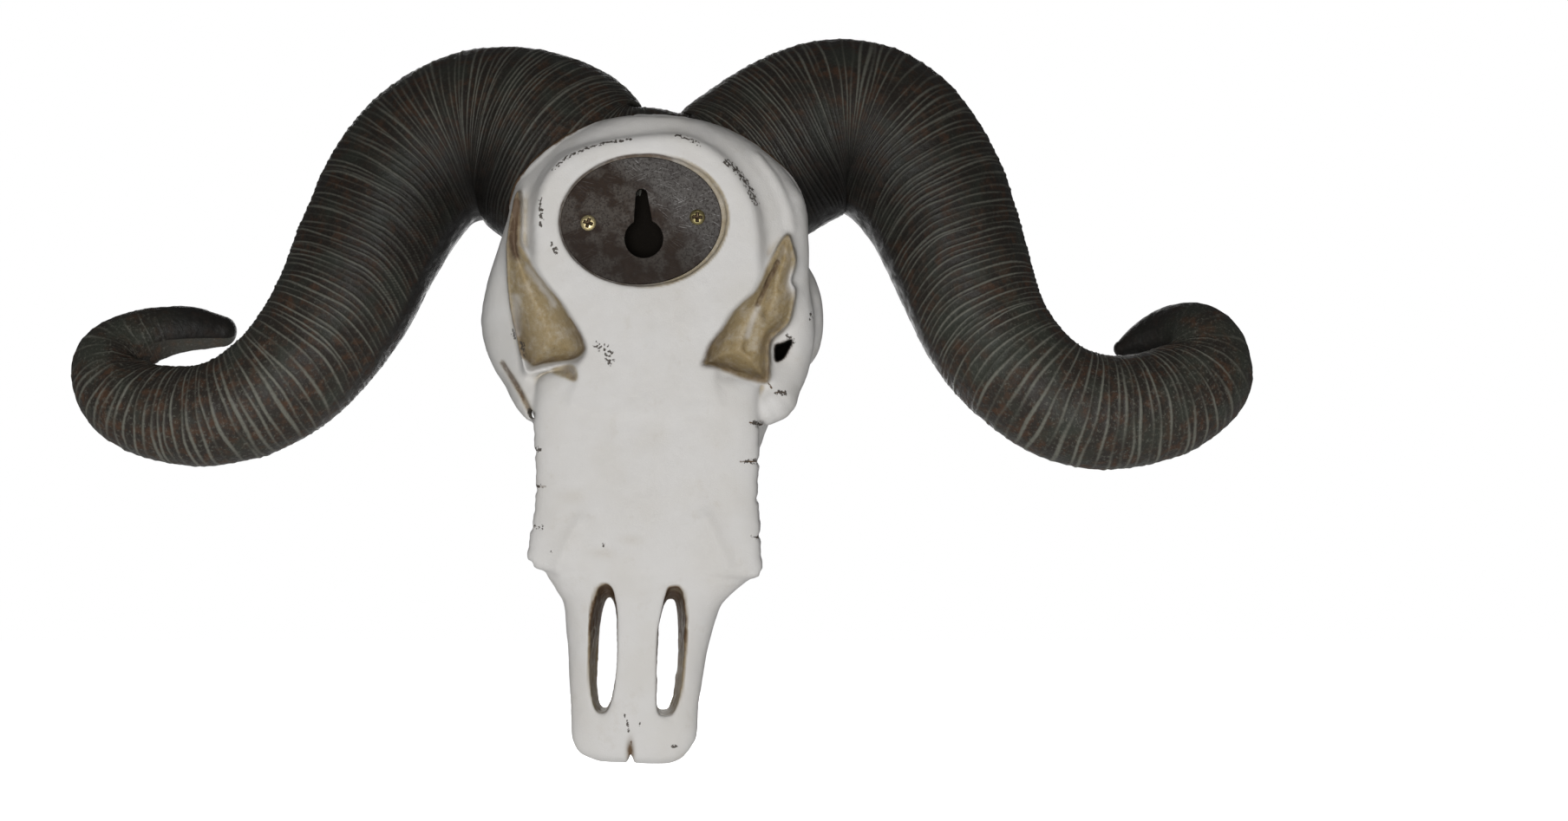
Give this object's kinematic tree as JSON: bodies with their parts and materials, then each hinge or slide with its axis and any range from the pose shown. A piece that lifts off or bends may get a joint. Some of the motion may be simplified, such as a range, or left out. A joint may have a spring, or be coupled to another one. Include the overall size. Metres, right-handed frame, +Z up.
{
  "type": "ram skull wall ornament",
  "caption": "Wall ornament cast as a ram's skull with two curling ridged horns and a keyhole hanger plate set in its back.",
  "frame": {"origin": "centre of the hanger plate, on the wall plane behind the ornament", "axes": "+Z up as it hangs, -Y the way the face looks into the room, +Y into the wall, +X to the ram's left"},
  "size_m": [0.339, 0.0739, 0.205],
  "materials": {
    "bone": "resin painted bone white, with brown stain in the hollows",
    "horn": "resin painted dark brown grey, with paler raised growth rings and a satin sheen",
    "plate": "dark mottled sheet steel with fine scratches",
    "screws": "yellow passivated cross-recess screws"
  },
  "bodies": {
    "root": {"skull": "bone", "horn_left": "horn", "horn_right": "horn", "hanger_plate": "plate", "screw_left": "screws", "screw_right": "screws"}
  },
  "joints": []
}
